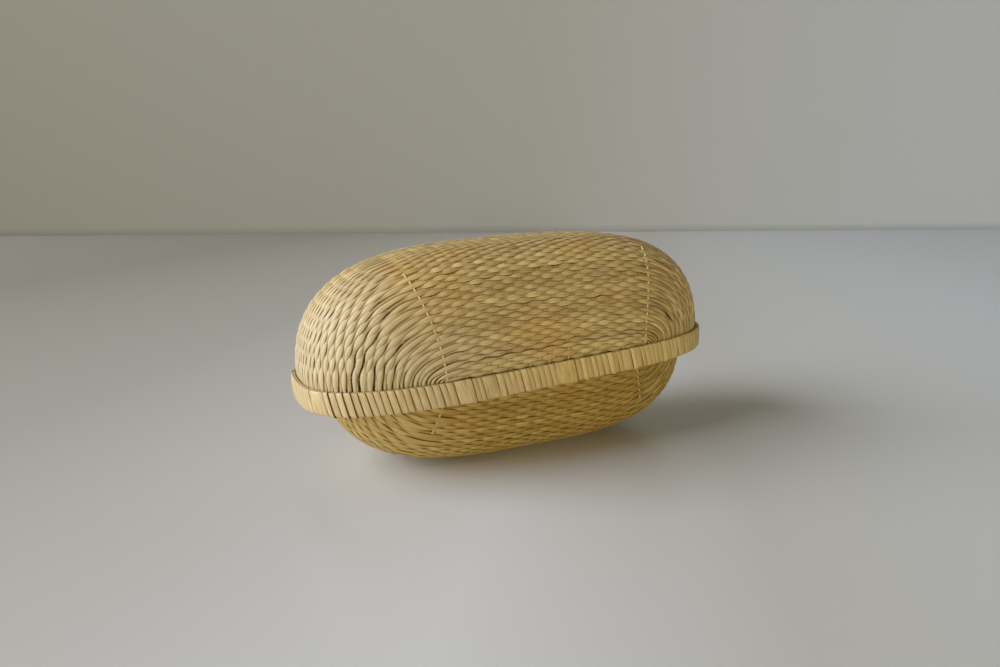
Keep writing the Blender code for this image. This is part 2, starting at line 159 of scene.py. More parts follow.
# The camera, the table and the wall behind it
CAMERA_TURN = -0.48831
CAMERA_RISE = 0.35794
CAMERA_DISTANCE = 0.34267
VIEW_TURN = 0.01821
VIEW_TILT = -0.14673
FOCAL_PIXELS = 684.87
FRAME_PIXELS = (1000, 667)
WALL_FOOT_PIXELS = ((0, 236), (1000, 229))
SENSOR = 36.0
STAGE_REACH = 6.0
WALL_HEIGHT = 3.0
# The table's colour is painted light: darker towards the back left, lightest at the front left, with a darker
# band of painted shadow where the box's shadow falls
TABLE_DIRECTION = (-0.8, 0.6, 0.0)
TABLE_DRIFT = (-0.4, 0.7)
TABLE_STOPS = (
    (0.0, (0.61, 0.65, 0.645)), (0.145, (0.61, 0.61, 0.585)), (0.27, (0.545, 0.525, 0.475)),
    (0.36, (0.69, 0.68, 0.665)), (0.45, (0.58, 0.555, 0.515)), (0.59, (0.44, 0.425, 0.375)),
    (1.0, (0.275, 0.265, 0.22)),
)
# The wall's colour is painted light: darker at its left, lighter at its right
WALL_DRIFT = (-1.1, 1.6)
WALL_STOPS = ((0.0, (0.198, 0.187, 0.145)), (0.5, (0.335, 0.33, 0.295)), (1.0, (0.57, 0.585, 0.64)))
# Painted shade along the foot of the wall, where it meets the table
WALL_FOOT_HEIGHT = 0.02
WALL_FOOT_PAINTED_SHADE = (0.74, 0.74, 0.74)
TABLE_SHINE = (0.30, 0.7)
WALL_SHINE = (0.8, 0.3)

# The light
WINDOW_PLACE = (-3.48, 0.85, 1.85)
WINDOW_SIZE = 3.2
WINDOW_POWER = 258
WINDOW_COLOUR = (0.93, 0.98, 1.10)
ROOM_PLACE = (-1.85, -3.50, 0.60)
ROOM_SIZE = 1.1
ROOM_POWER = 99
ROOM_COLOUR = (1.0, 0.885, 0.56)
WORLD_STRENGTH = 0.03

# The grain, and the painted shade and painted light on rods and splints
BLACK = (0, 0, 0)
WHITE = (1, 1, 1)
STREAK_SCALES = (90, 2.2, 190)
STREAK_DETAIL = 3
STREAK_STOPS = (0.28, 0.66)
FIBRE_SCALES = (160, 11, 370)
FIBRE_DETAIL = 2
FIBRE_STOPS = (0.30, 0.60)
FIBRE_SHADE = (0.72, 0.68, 0.60)
FIBRE_BUMP = 0.25
FIBRE_DEPTH = 0.0002
PATCH_SCALE = 34
PATCH_DETAIL = 2
PATCH_STOPS = (0.50, 0.66)
PATCH_SHARE = 0.55
# Painted light: rods and splints turn paler towards the left end, the front and the bottom, where the window
# lights them; partly the straw's own paler tone
LIT_PALE_DIRECTION = (-1.0, -1.0, -1.0)
LID_LIT_PALE_DRIFT = (-0.005, 0.045)
BASE_LIT_PALE_DRIFT = (0.05, 0.10)
LIT_PALE_SHARE = 0.90
ROD_TONE_SHARE = 0.25
# Painted shade on the rods' sides, where they meet and tuck under their neighbours
ROD_SIDE_STOPS = (0.12, 0.60)
ROD_SIDE_PAINTED_SHADE = (0.30, 0.235, 0.13)
# Painted shade where a rod dips under a thread
ROD_DIP_STOPS = (0.0, 0.55)
ROD_DIP_PAINTED_SHADE = (0.80, 0.75, 0.64)
SPLINT_TONE_SHARE = 0.35
# Painted shade lines where one turn of splint meets the next, and on the turns' top face near the wall
SPLINT_EDGE_STOPS = (0.02, 0.10)
SPLINT_EDGE_PAINTED_SHADE = (0.27, 0.20, 0.12)
HOOP_GRAIN_SCALES = (40, 40, 900)
HOOP_GRAIN_DETAIL = 3
HOOP_GRAIN_STOPS = (0.3, 0.7)
HOOP_DARK_SHARE = 0.6
WOOD_ROUGHNESS = 0.5
THREAD_ROUGHNESS = 0.75
WOOD_SPECULAR = 0.4

# The colours: the dark, the light and the golden tone of rods and splints, and the pale one painted where the
# window lights their low end;
# and the threads' colour in the weave, and where they stand out
LID_ROD_COLOURS = ((0.34, 0.24, 0.10), (0.63, 0.49, 0.25), (0.52, 0.335, 0.107))
LID_ROD_PALE = (0.50, 0.415, 0.265)
LID_THREAD_COLOURS = ((0.50, 0.38, 0.16), (0.62, 0.49, 0.26))
LID_SPLINT_COLOURS = ((0.49, 0.365, 0.145), (0.60, 0.455, 0.22), (0.55, 0.39, 0.15))
LID_SPLINT_PALE = (0.50, 0.39, 0.225)
LID_HOOP_COLOUR = (0.50, 0.37, 0.17)
BASE_ROD_COLOURS = ((0.255, 0.165, 0.034), (0.50, 0.355, 0.115), (0.38, 0.245, 0.048))
BASE_ROD_PALE = (0.50, 0.385, 0.175)
BASE_THREAD_COLOURS = ((0.40, 0.27, 0.08), (0.54, 0.41, 0.18))
BASE_SPLINT_COLOURS = ((0.52, 0.37, 0.14), (0.63, 0.47, 0.21), (0.57, 0.39, 0.14))
BASE_SPLINT_PALE = (0.57, 0.455, 0.27)
BASE_HOOP_COLOUR = (0.48, 0.35, 0.16)

# The solids that the woven and wound pieces stand for, and the start of the random draws
CORNERS = ("front_left", "front_right", "back_left", "back_right")
SPLINTS = 8
SEED = 20


class Shell:
    """One woven shell, measured from its mouth: a skirt round the mouth, then a dome that closes it."""

    def __init__(self, half_length, half_width, skirt, dome, powers, taper, band, depth, placing):
        self.half_length = half_length
        self.half_width = half_width
        self.skirt = skirt
        self.dome = dome
        self.rise_power, self.swell_power = powers
        self.taper = taper
        self.band = band
        self.depth = depth
        self.placing = placing

    def share(self, height):
        """The share that the plan is shrunk to at a height above the mouth."""
        rise = np.clip((height - self.skirt) / self.dome, 0, CROWN_SHARE)
        return (1 - rise**self.rise_power) ** (1 / self.swell_power)

    def draw_in(self, height):
        """How far the outline is drawn in near the mouth."""
        if not self.taper:
            return 0 * height
        rise = np.clip((height - self.band) / (self.skirt - self.band), 0, 1)
        return self.taper * (1 + np.cos(pi * rise)) / 2

    def reach(self, across, height):
        """How far along the box the surface lies, at a place across it and a height."""
        share = self.share(height)
        half_length = self.half_length - self.draw_in(height)
        half_width = self.half_width - self.draw_in(height)
        inside = np.clip(1 - (np.abs(across) / (half_width * share)) ** PLAN_POWER, 0, 1)
        return (STRAIGHT_RUN + (half_length - STRAIGHT_RUN) * inside ** (1 / PLAN_POWER)) * share

    def field(self, points):
        """A value that grows outward through the surface."""
        share = self.share(points[:, 2])
        half_length = self.half_length - self.draw_in(points[:, 2])
        half_width = self.half_width - self.draw_in(points[:, 2])
        along = np.maximum(np.abs(points[:, 0]) / share - STRAIGHT_RUN, 0) / (half_length - STRAIGHT_RUN)
        across = np.abs(points[:, 1]) / share / half_width
        return along**PLAN_POWER + across**PLAN_POWER

    def normals(self, points):
        """The outward direction of the surface at points on it."""
        held = points.copy()
        held[:, 2] = np.minimum(held[:, 2], self.skirt + self.dome - 2 * SLOPE_STEP)
        slope = np.empty_like(points)
        for axis in range(3):
            shift = np.zeros(3)
            shift[axis] = SLOPE_STEP
            slope[:, axis] = self.field(held + shift) - self.field(held - shift)
        size = np.linalg.norm(slope, axis=1)
        flat = (size < LEAST_SLOPE) | (points[:, 2] >= self.depth - LEVEL_TOLERANCE)
        slope[flat] = (0, 0, 1)
        return slope / np.linalg.norm(slope, axis=1)[:, None]

    def section(self):
        """Points of the half section across the middle, from the band up to the crown."""
        skirt = np.linspace(self.band, self.skirt, SKIRT_POINTS)[:-1]
        low = np.column_stack([self.half_width - self.draw_in(skirt), skirt])
        angle = np.linspace(0, pi / 2, DOME_POINTS)
        share = np.maximum(np.cos(angle), 0) ** (2 / self.swell_power)
        height = self.skirt + self.dome * np.sin(angle) ** (2 / self.rise_power)
        high = np.column_stack([self.half_width * share, np.minimum(height, self.depth)])
        return np.concatenate([low, high]) if self.skirt > self.band else high

    def rim(self, start_run):
        """Points of the rim's plan from a place on its long side to the middle of its end."""
        angle = np.linspace(pi / 2, 0, RIM_POINTS)
        half_length = self.half_length - self.taper
        half_width = self.half_width - self.taper
        along = np.cos(angle) ** (2 / PLAN_POWER) * (half_length - STRAIGHT_RUN) + STRAIGHT_RUN
        across = np.sin(angle) ** (2 / PLAN_POWER) * half_width
        return np.column_stack([along, across])[along >= start_run]

    def placed(self, points):
        """Points of the shell's own frame in the frame of the box."""
        turn = np.array(self.placing.to_3x3())
        return points @ turn.T + np.array(self.placing.translation)


def walked(points):
    """The distance walked along a line of points."""
    return np.concatenate([[0], np.cumsum(np.linalg.norm(np.diff(points, axis=0), axis=1))])


def at_distance(points, distance, wanted):
    """Points of a line at given distances along it."""
    return np.column_stack([np.interp(wanted, distance, points[:, axis]) for axis in range(points.shape[1])])


def eased(wanted, places, values):
    """A smooth swing between values at given places."""
    right = np.clip(np.searchsorted(places, wanted), 1, len(places) - 1)
    share = np.clip((wanted - places[right - 1]) / (places[right] - places[right - 1]), 0, 1)
    return values[right - 1] + (values[right] - values[right - 1]) * (1 - np.cos(pi * share)) / 2


def half_path(shell, middle, foot):
    """One rod from its foot at the rim up to the middle of the box, where X and Y are above zero."""
    rise = np.sin(np.linspace(0, pi / 2, ARCH_POINTS))
    height = shell.band + (middle[1] - shell.band) * rise
    across = foot[1] + (middle[0] - foot[1]) * rise**2
    along = shell.reach(across, height)
    along[0] = foot[0]
    arch = np.column_stack([along, across, height])
    straight = np.linspace(along[-1], 0, STRAIGHT_POINTS)[1:]
    level = np.column_stack([straight, np.full_like(straight, middle[0]), np.full_like(straight, middle[1])])
    points = np.concatenate([arch, level])
    points[:, 2] = np.minimum(points[:, 2], shell.depth)
    distance = walked(points)
    return at_distance(points, distance, np.linspace(0, distance[-1], PATH_POINTS))


def rod_paths(shell, chance):
    """The line of every rod on the surface, from one end of the box to the other."""
    section = shell.section()
    section_distance = walked(section)
    rim = shell.rim(SEAM_FOOT * shell.half_length / LID_HALF_LENGTH)
    rim_distance = walked(rim)
    half_count = round(section_distance[-1] / ROD_PITCH)
    paths = []
    for index in range(2 * half_count):
        from_rim = min(index, 2 * half_count - 1 - index)
        side = -1 if index < half_count else 1
        share = (from_rim + 0.5) / half_count
        middle = at_distance(section, section_distance, [share * section_distance[-1]])[0]
        halves = []
        for end in (1, -1):
            stray = chance.normal(0, FOOT_WANDER) * min(FOOT_WANDER_GROWTH * share, 1)
            place = share * rim_distance[-1] + stray
            foot = at_distance(rim, rim_distance, [np.clip(place, 0, rim_distance[-1])])[0]
            halves.append(half_path(shell, middle, foot) * (end, side, 1))
        paths.append(np.concatenate([halves[0], halves[1][::-1][1:]]))
    return np.array(paths)


def spacings(paths):
    """How far each rod lies from its neighbours, all along it."""
    along = np.gradient(paths, axis=1)
    along /= np.linalg.norm(along, axis=2)[:, :, None]
    apart = paths[1:] - paths[:-1]
    apart -= (apart * along[:-1]).sum(axis=2)[:, :, None] * along[:-1]
    gaps = np.linalg.norm(apart, axis=2)
    return (np.concatenate([gaps[:1], gaps]) + np.concatenate([gaps, gaps[-1:]])) / 2


def seam_run(shell, height):
    """How far from the middle the corner seam lies at a height."""
    size = shell.half_length / LID_HALF_LENGTH
    rise = np.maximum(height - shell.band, 0) / (SEAM_RISE * size)
    return (SEAM_FOOT + SEAM_LEAN * rise**SEAM_POWER) * size


def middle_crossings(run, gone, seam):
    """How far from a rod's middle the threads between the seams cross one half of it."""
    found = []
    for number in range(MOST_THREADS):
        place = (number + 0.5) * THREAD_STEP
        reached = np.interp(place, run, gone)
        if place > run[-1] or reached > seam - SEAM_CLEAR_SHARE * THREAD_STEP:
            break
        found.append(reached)
    return found


def end_crossings(length, seam, free):
    """How far from a rod's middle the threads of the box's end cross one half of it, up from the rim."""
    found = []
    for number in range(1, MOST_THREADS):
        place = number * END_THREAD_STEP
        if place > length - seam - free:
            break
        found.append(length - place)
    return found


def crossings(shell, path, distance, chance):
    """Where threads cross one rod: for each thread, its distance along the rod."""
    middle = PATH_POINTS - 1
    found = {}
    for end in (1, -1):
        half = path[middle::-end]
        gone = np.abs(distance[middle::-end] - distance[middle])
        run = np.maximum.accumulate(np.abs(half[:, 0]))
        beyond = np.maximum.accumulate(np.abs(half[:, 0]) - seam_run(shell, half[:, 2]))
        seam = np.interp(0, beyond, gone)
        for number, reached in enumerate(middle_crossings(run, gone, seam)):
            name = ("middle", number if end == 1 else -number - 1)
            found[name] = distance[middle] - end * reached + chance.normal(0, CROSSING_WANDER)
        seam_height = np.interp(seam, gone, half[:, 2]) - shell.band
        sewn = seam_height < SEAM_RISE * shell.half_length / LID_HALF_LENGTH
        if sewn:
            found[("seam", end)] = distance[middle] - end * seam
        free = FLOAT_LENGTH if sewn else END_THREAD_STEP
        for number, reached in enumerate(end_crossings(gone[-1], seam, free), 1):
            name = ("end", end * number)
            found[name] = distance[middle] - end * reached + chance.normal(0, CROSSING_WANDER)
    return found


def over(name, index):
    """Whether a thread passes over a rod, as 1, or under it, as -1."""
    kind, number = name
    return 1 if (index + (0 if kind == "seam" else number)) % 2 else -1


def rod_swing(found, index, length):
    """Places along one rod, how far it swings out at each, from -1 to 1, and its share of its width there."""
    foot = (FOOT_SWINGS[index % 2], FOOT_WIDTH_SHARES[index % 2])
    knots = [(0.0, *foot)]
    for name, place in sorted(found.items(), key=lambda item: item[1]):
        swing = -over(name, index)
        if place - knots[-1][0] > FLOAT_STEP_SHARE * END_THREAD_STEP:
            middle = knots[-1][0] + (place - knots[-1][0]) / 2
            knots.append((middle, FLOAT_SWINGS[index % 2], FLOAT_WIDTH_SHARES[index % 2]))
        if place - knots[-1][0] > LEAST_APART:
            knots.append((place, swing, ROD_WIDTH_SHARES[swing > 0]))
    knots.append((length, *foot))
    return [np.array(column) for column in zip(*knots)]


def foot_taper(wanted, length):
    """How much of its width a rod keeps near its two feet, where the splints press it together."""
    from_foot = np.minimum(wanted, length - wanted)
    kept = np.clip(from_foot / FOOT_TAPER_LENGTH, 0, 1)
    return 1 - FOOT_TAPER_SHARE * (1 + np.cos(pi * kept)) / 2


class Strands:
    """A mesh of many closed tubes, with what its material needs to know at every point."""

    def __init__(self):
        self.points = []
        self.faces = []
        self.facts = {"run": [], "turn": [], "tone": [], "crest": []}
        self.count = 0

    def add(self, rings, ring_facts, closed):
        """One tube from its rings of points; a closed one comes round to its first ring."""
        rows, sides = rings.shape[:2]
        index = self.count + np.arange(rows * sides).reshape(rows, sides)
        after = np.roll(index, -1, axis=1)
        low, high = (index, np.roll(index, -1, axis=0)) if closed else (index[:-1], index[1:])
        low_after, high_after = (after, np.roll(after, -1, axis=0)) if closed else (after[:-1], after[1:])
        quads = np.stack([low, low_after, high_after, high], axis=-1).reshape(-1, 4)
        self.faces.extend(quads.tolist())
        if not closed:
            self.faces.append(index[0][::-1].tolist())
            self.faces.append(index[-1].tolist())
        self.points.append(rings.reshape(-1, 3))
        for name, values in ring_facts.items():
            self.facts[name].append(np.broadcast_to(values, (rows, sides)).reshape(-1))
        self.count += rows * sides

    def tube(self, centre, up, half_width, half_height, sides, tone, crest):
        """A tube along a line, with its own width and height."""
        along = np.gradient(centre, axis=0)
        along /= np.linalg.norm(along, axis=1)[:, None]
        side = np.cross(along, up)
        side /= np.linalg.norm(side, axis=1)[:, None]
        up = np.cross(side, along)
        angle = np.arange(sides) * 2 * pi / sides
        wide = side[:, None] * (np.cos(angle)[None, :] * np.reshape(half_width, (-1, 1)))[:, :, None]
        tall = up[:, None] * (np.sin(angle)[None, :] * np.reshape(half_height, (-1, 1)))[:, :, None]
        facts = {
            "run": walked(centre)[:, None],
            "turn": np.sin(angle)[None, :],
            "tone": tone,
            "crest": np.reshape(crest, (-1, 1)),
        }
        self.add(centre[:, None] + wide + tall, facts, False)

    def made(self, name, shell, finish, slot, body, replaced):
        """The finished object, in place, riding on its body and standing for its solids."""
        data = bpy.data.meshes.new(name)
        data.from_pydata(shell.placed(np.concatenate(self.points)).tolist(), [], self.faces)
        for fact, values in self.facts.items():
            layer = data.attributes.new(fact, "FLOAT", "POINT")
            layer.data.foreach_set("value", np.concatenate(values).astype(np.float32))
        data.polygons.foreach_set("use_smooth", np.ones(len(data.polygons), bool))
        data.update()
        obj = bpy.data.objects.new(name, data)
        bpy.context.scene.collection.objects.link(obj)
        data.materials.append(finish)
        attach(obj, body)
        if replaced:
            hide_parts(*replaced)


def wandering(wanted, length, chance):
    """How far one rod strays sideways along its way."""
    knots = np.arange(-1, int(length / ROD_WANDER_STEP) + 3) * ROD_WANDER_STEP
    return eased(wanted, knots, chance.normal(0, ROD_WANDER, len(knots)))


def with_feet(values):
    """Values along one rod, kept on at each end for its foot."""
    first = np.repeat(values[:1], FOOT_POINTS, axis=0)
    last = np.repeat(values[-1:], FOOT_POINTS, axis=0)
    return np.concatenate([first, values, last])


def led_down(shell, line):
    """One rod's line, led down at both ends behind the splints of the rim."""
    down = np.linspace(shell.band - FOOT_TOP_DROP, FOOT_LOW, FOOT_POINTS)
    line = with_feet(line)
    line[:FOOT_POINTS, 2] = down[::-1]
    line[-FOOT_POINTS:, 2] = down
    return line


def rod_half_width(gap, share, wanted, length, chance):
    """Half of one rod's width all along it, from the room that it has."""
    size = 1 + chance.normal(0, ROD_SIZE_SPREAD)
    half_width = np.clip(gap / 2 * size * share, ROD_LEAST_HALF_WIDTH, ROD_MOST_HALF_WIDTH)
    return half_width * foot_taper(wanted, length)


def rods(shell, paths, chance):
    """All rods of one shell, and for the threads each rod's path, its distances and its crossings."""
    strands = Strands()
    lines = []
    for index, (path, apart) in enumerate(zip(paths, spacings(paths))):
        distance = walked(path)
        found = crossings(shell, path, distance, chance)
        length = distance[-1]
        wanted = np.linspace(0, length, max(int(length / ROD_STEP), LEAST_ROD_POINTS))
        centre = at_distance(path, distance, wanted)
        up = shell.normals(centre)
        side = np.cross(np.gradient(centre, axis=0), up)
        side /= np.linalg.norm(side, axis=1)[:, None]
        places, swings, widths = rod_swing(found, index, length)
        swing = eased(wanted, places, swings)
        stray = wandering(wanted, length, chance)
        line = centre + up * (ROD_SWING * swing - ROD_DEPTH)[:, None] + side * stray[:, None]
        gap = np.interp(wanted, distance, apart)
        half_width = with_feet(rod_half_width(gap, eased(wanted, places, widths), wanted, length, chance))
        half_height = np.full(len(half_width), ROD_HALF_HEIGHT)
        line, up, swing = led_down(shell, line), with_feet(up), with_feet(swing)
        strands.tube(line, up, half_width, half_height, ROD_SIDES, chance.random(), swing)
        lines.append((path, distance, found))
    return strands, lines


def thread_names(lines):
    """Every thread, with the rods that it crosses in order."""
    named = {}
    for index, (_, _, found) in enumerate(lines):
        for name in found:
            named.setdefault(name, []).append(index)
    return named


def runs_of(indices):
    """A list of rod numbers cut where it skips one."""
    cuts = np.flatnonzero(np.diff(indices) > 1) + 1
    return np.split(np.array(indices), cuts)


def thread_line(shell, lines, name, indices):
    """The line of one thread past its rods, how far it swings over or under each, and the way outward."""
    on_surface = []
    for path, distance, found in (lines[index] for index in indices):
        on_surface.append(at_distance(path, distance, [found[name]])[0])
    swing = np.array([over(name, index) for index in indices], float)
    tucked = [2 * on_surface[0] - on_surface[1], *on_surface, 2 * on_surface[-1] - on_surface[-2]]
    for end in (0, -1):
        tucked[end][2] = max(tucked[end][2], shell.band - THREAD_TUCK)
    tucked = np.array(tucked)
    swing = np.concatenate([swing[:1], swing, swing[-1:]])
    places = np.arange(len(tucked), dtype=float)
    wanted = np.linspace(0, len(tucked) - 1, (len(tucked) - 1) * THREAD_SAMPLES + 1)
    centre = at_distance(tucked, places, wanted)
    return centre, eased(wanted, places, swing), shell.normals(centre)


def tied_shares(part, rod_count, count, chance):
    """Where one thread stands out, thicker and paler: over some of the rods next to the rim."""
    from_rim = np.minimum(part, rod_count - 1 - part)
    low = np.concatenate([from_rim[:1], from_rim, from_rim[-1:]])
    stands = (low < TIED_RODS) & (chance.random(len(low)) < TIE_CHANCE_SHARE)
    return np.interp(np.linspace(0, len(low) - 1, count), np.arange(len(low)), stands.astype(float))


def threads(shell, lines, chance):
    """The threads that run across the rods, and those of the corner seams."""
    fine, seams = Strands(), Strands()
    rise = ROD_HALF_HEIGHT - ROD_SWING
    for name, indices in thread_names(lines).items():
        for part in runs_of(indices):
            if len(part) < LEAST_CROSSED:
                continue
            centre, swing, up = thread_line(shell, lines, name, part)
            if name[0] == "seam":
                strands, size, sunk = seams, SEAM_THREAD_HALF_WIDTH, SEAM_THREAD_SUNK
                tied, width = np.ones(len(centre)), np.full(len(centre), size)
                out = swing * (rise + size - sunk) - ROD_DEPTH
            else:
                strands, size, sunk = fine, THREAD_HALF_WIDTH, THREAD_SUNK
                tied = tied_shares(part, len(lines), len(centre), chance)
                width = size * (1 + (TIE_SHARE - 1) * tied)
                out = swing * (rise + size - sunk + TIE_RISE * tied) - ROD_DEPTH
            strands.tube(centre + up * out[:, None], up, width, width, THREAD_SIDES, chance.random(), tied)
    return fine, seams


def rim_line(shell):
    """The rim's outline from the right end round the back, its distances and its outward directions."""
    quarter = shell.rim(0)[::-1]
    straight = np.linspace(STRAIGHT_RUN, -STRAIGHT_RUN, RIM_STRAIGHT_POINTS)[1:-1]
    top = np.column_stack([straight, np.full_like(straight, shell.half_width - shell.taper)])
    back = np.concatenate([quarter, top, quarter[::-1] * (-1, 1)])
    outline = np.concatenate([back, back[::-1][1:] * (1, -1)])
    along = np.gradient(outline, axis=0)
    along[0] = along[-1] = (0, 1)
    out = np.column_stack([along[:, 1], -along[:, 0]])
    out /= np.linalg.norm(out, axis=1)[:, None]
    return outline, walked(outline), out


def wrap_section(faces, top):
    """The path of one turn of splint round the rim: out, up, and how far the turn has leaned by then."""
    outer, inner = faces
    outer -= WRAP_THICKNESS
    inner += WRAP_THICKNESS
    angle = np.linspace(0, 2 * pi, WRAP_POINTS, endpoint=False) + pi / 2
    power = 2 / WRAP_SQUARENESS
    out = np.sign(-np.cos(angle)) * np.abs(np.cos(angle)) ** power
    up = np.sign(np.sin(angle)) * np.abs(np.sin(angle)) ** power
    middle, half = (outer + inner) / 2, (outer - inner) / 2
    height = top / 2 + (top / 2 - WRAP_THICKNESS / 2) * up + WRAP_THICKNESS
    lean = np.where(out > 0, (1 - up) / 2, 1 + (1 + up) / 2)
    lean = np.where(np.abs(out) < LEVEL_FACE_SHARE, np.where(up > 0, 0, 1), lean)
    place = middle + half * out
    height = height - WRAP_DIP * np.where(up > 0, np.clip(1 - place / outer, 0, 1), 0)
    return place, height, lean, out, up


def on_front(outline, distance, runs):
    """How far round the rim a turn starts whose front is seen at a run from the middle of the long side."""
    front = len(outline) // 2
    return np.interp(np.array(runs) - WRAP_LEAN / 2, outline[front:, 0], distance[front:])


def turn_places(outline, distance, chance):
    """Where each turn of splint starts round a rim, and its width: most alike, a few as wide strips."""
    places = []
    place = 0.0
    for start, end in (*on_front(outline, distance, WIDE_STRIPS), (distance[-1], distance[-1])):
        widths = chance.uniform(*WRAP_SPREAD_SHARES, max(round((start - place) / WRAP_WIDTH), 1))
        widths *= (start - place) / widths.sum()
        for width in (*widths, end - start):
            places.append((place, width))
            place += width
    return places[:-1]


def lapped_turn(place, width, marks, chance):
    """Whether a turn laps far over the next one: at the steps on the front, and here and there elsewhere."""
    if place > marks[0] - 2 * WRAP_WIDTH:
        return any(place < mark <= place + width for mark in marks + WRAP_WIDTH / 2)
    return chance.random() < WRAP_OVERLAP_SHARE


def edge_faintness(plain, sharp, chance):
    """How faint the line of painted shade at a turn's edge is."""
    if plain:
        return FAINT_EDGE * PLAIN_FAINT_SHARE
    return 0 if sharp else FAINT_EDGE * chance.uniform(*FAINT_SHARES)


def wraps(shell, faces, chance):
    """The turns of flat splint round one rim."""
    strands = Strands()
    outline, distance, outward = rim_line(shell)
    out, height, lean, face_out, face_up = wrap_section(faces, shell.band)
    facing = np.column_stack([face_out, face_up])
    facing /= np.linalg.norm(facing, axis=1)[:, None]
    total = distance[-1]
    across = np.array(WRAP_ACROSS_SHARES)
    proud = np.array(WRAP_PROUD_SHARES)
    marks = on_front(outline, distance, LAPPED_PLACES)
    plain_end = on_front(outline, distance, PLAIN_RIM_START)
    even_end = on_front(outline, distance, EVEN_RIM_END)
    # painted shade over the splints' top face near the wall, where the gap to the lowest rod lies in shade
    from_top = np.clip((out - TOP_PAINTED_SHADE_START) / TOP_PAINTED_SHADE_WIDTH, 0, 1)
    top_painted_shade = np.where(face_up > TOP_FACE_SHARE, from_top, 1)
    for place, width in turn_places(outline, distance, chance):
        lapped = lapped_turn(place, width, marks, chance)
        plain = total / 2 - PLAIN_RIM_BEHIND < place < plain_end
        lap = WRAP_LAP * (FAR_LAP_SHARE if lapped else chance.uniform(*WRAP_LAP_SHARES))
        faint = edge_faintness(plain, lapped or place < even_end, chance)
        tilt = WRAP_LEAN * chance.uniform(*WRAP_LEAN_SHARES)
        along = place + across[None, :] * width + (lean * tilt)[:, None]
        lift = WRAP_THICKNESS * proud[None, :] + lap * across[None, :]
        base = at_distance(outline, distance, along.reshape(-1) % total).reshape(*along.shape, 2)
        away = at_distance(outward, distance, along.reshape(-1) % total).reshape(*along.shape, 2)
        offset = out[:, None] + facing[:, :1] * lift
        level = height[:, None] + facing[:, 1:] * lift
        points = np.concatenate([base + away * offset[:, :, None], level[:, :, None]], axis=2)
        # a line of painted shade at each turn's edges, sharpest at the lapped steps
        edge = np.minimum(across, 1 - across) * width / WRAP_WIDTH + faint
        shade = np.minimum(edge[None, :], top_painted_shade[:, None])
        facts = {"run": height[:, None], "turn": across[None, :], "tone": chance.random(), "crest": shade}
        strands.add(points, facts, True)
    return strands


class Nodes:
    """A material's nodes, made and joined by short calls."""

    def __init__(self, name):
        self.material = bpy.data.materials.new(name)
        self.material.use_nodes = True
        self.tree = self.material.node_tree
        self.shader = self.tree.nodes["Principled BSDF"]

    def node(self, kind, **settings):
        """A new node of a kind, with its settings."""
        made = self.tree.nodes.new(kind)
        for key, value in settings.items():
            setattr(made, key, value)
        return made

    def join(self, source, target):
        """A link from an outlet to a socket."""
        self.tree.links.new(source, target)

    def fact(self, name):
        """A value kept at the points of the mesh."""
        return self.node("ShaderNodeAttribute", attribute_name=name).outputs["Fac"]

    def math(self, operation, first, second):
        """Two values, or a value and a number, worked into one."""
        made = self.node("ShaderNodeMath", operation=operation)
        for socket, value in zip(made.inputs, (first, second)):
            if isinstance(value, (int, float)):
                socket.default_value = value
            else:
                self.join(value, socket)
        return made.outputs[0]

    def vector(self, first, second, third):
        """Three values as the coordinates of one place."""
        made = self.node("ShaderNodeCombineXYZ")
        for socket, value in zip(made.inputs, (first, second, third)):
            self.join(value, socket)
        return made.outputs[0]

    def drift(self, direction, low, high):
        """A value that rises from 0 to 1 between two places along a direction."""
        along = self.node("ShaderNodeVectorMath", operation="DOT_PRODUCT")
        along.inputs[1].default_value = direction
        self.join(self.node("ShaderNodeTexCoord").outputs["Object"], along.inputs[0])
        spread = self.node("ShaderNodeMapRange")
        spread.inputs["From Min"].default_value = low
        spread.inputs["From Max"].default_value = high
        self.join(along.outputs["Value"], spread.inputs["Value"])
        return spread.outputs[0]

    def grain_place(self, scales, tone):
        """Coordinates that run along a strand, round it, and differ from strand to strand."""
        along = self.math("MULTIPLY", self.fact("run"), scales[0])
        around = self.math("MULTIPLY", self.fact("turn"), scales[1])
        return self.vector(along, around, self.math("MULTIPLY", tone, scales[2]))

    def noise(self, coordinates, scale, detail):
        """A random value that changes softly from place to place."""
        made = self.node("ShaderNodeTexNoise")
        made.inputs["Scale"].default_value = scale
        made.inputs["Detail"].default_value = detail
        self.join(coordinates, made.inputs["Vector"])
        return made.outputs["Fac"]

    def ramp(self, value, stops):
        """A colour for each value, from places between 0 and 1 and the colours there."""
        stops = list(stops)
        made = self.node("ShaderNodeValToRGB")
        while len(made.color_ramp.elements) < len(stops):
            made.color_ramp.elements.new(0.5)
        for element, (position, colour) in zip(made.color_ramp.elements, stops):
            element.position = position
            element.color = (*colour, 1)
        self.join(value, made.inputs[0])
        return made.outputs[0]

    def mixed(self, share, first, second, blend="MIX"):
        """One colour laid over another by a share."""
        made = self.node("ShaderNodeMix", data_type="RGBA", blend_type=blend)
        for socket, value in ((made.inputs[0], share), (made.inputs[6], first), (made.inputs[7], second)):
            if isinstance(value, float):
                socket.default_value = value
            elif isinstance(value, tuple):
                socket.default_value = (*value, 1)
            else:
                self.join(value, socket)
        return made.outputs[2]


def peeled(nodes, colours, spread):
    """The colour of peeled wood: streaks along the grain, a tone for each strand, and golden patches."""
    dark, light, patch = colours
    tone = nodes.fact("tone")
    streak = nodes.noise(nodes.grain_place(STREAK_SCALES, tone), 1.0, STREAK_DETAIL)
    streak = nodes.math("MULTIPLY", streak, 1 - spread)
    level = nodes.math("ADD", nodes.math("MULTIPLY", tone, spread), streak)
    plain = nodes.ramp(level, zip(STREAK_STOPS, (dark, light)))
    place = nodes.node("ShaderNodeTexCoord").outputs["Object"]
    cloud = nodes.noise(place, PATCH_SCALE, PATCH_DETAIL)
    cloud = nodes.ramp(cloud, zip(PATCH_STOPS, (BLACK, WHITE)))
    return nodes.mixed(nodes.math("MULTIPLY", cloud, PATCH_SHARE), plain, patch)


